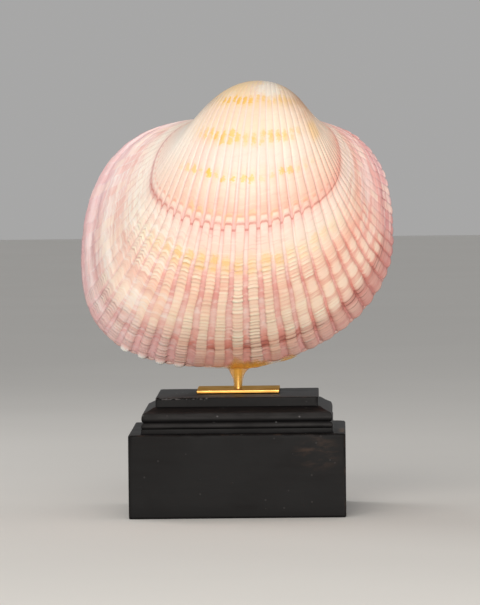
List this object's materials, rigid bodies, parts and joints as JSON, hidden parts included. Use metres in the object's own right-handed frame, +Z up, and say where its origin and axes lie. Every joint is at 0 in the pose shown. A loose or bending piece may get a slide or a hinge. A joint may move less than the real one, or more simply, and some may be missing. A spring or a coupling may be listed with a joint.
{
  "type": "giant heart cockle shell on a stand",
  "caption": "Large heart-shaped cockle shell with strong rounded ribs, both halves closed, standing edge down on a brass rod over a black wooden plinth.",
  "frame": {"origin": "centre of the plinth's flat underside", "axes": "+Z up through the rod and the shell, +X towards the shell's front end, -Y towards the right valve, which faces the viewer"},
  "size_m": [0.133, 0.0936, 0.1807],
  "materials": {
    "shell": "satin",
    "horn": "satin",
    "resin": "gloss",
    "brass": "gloss",
    "black_paint": "gloss"
  },
  "bodies": {
    "root": {"right_valve": "shell", "left_valve": "shell", "ligament": "horn", "glue": "resin", "stand_rod": "brass", "stand_plate": "brass", "plinth": "black_paint"}
  },
  "joints": []
}
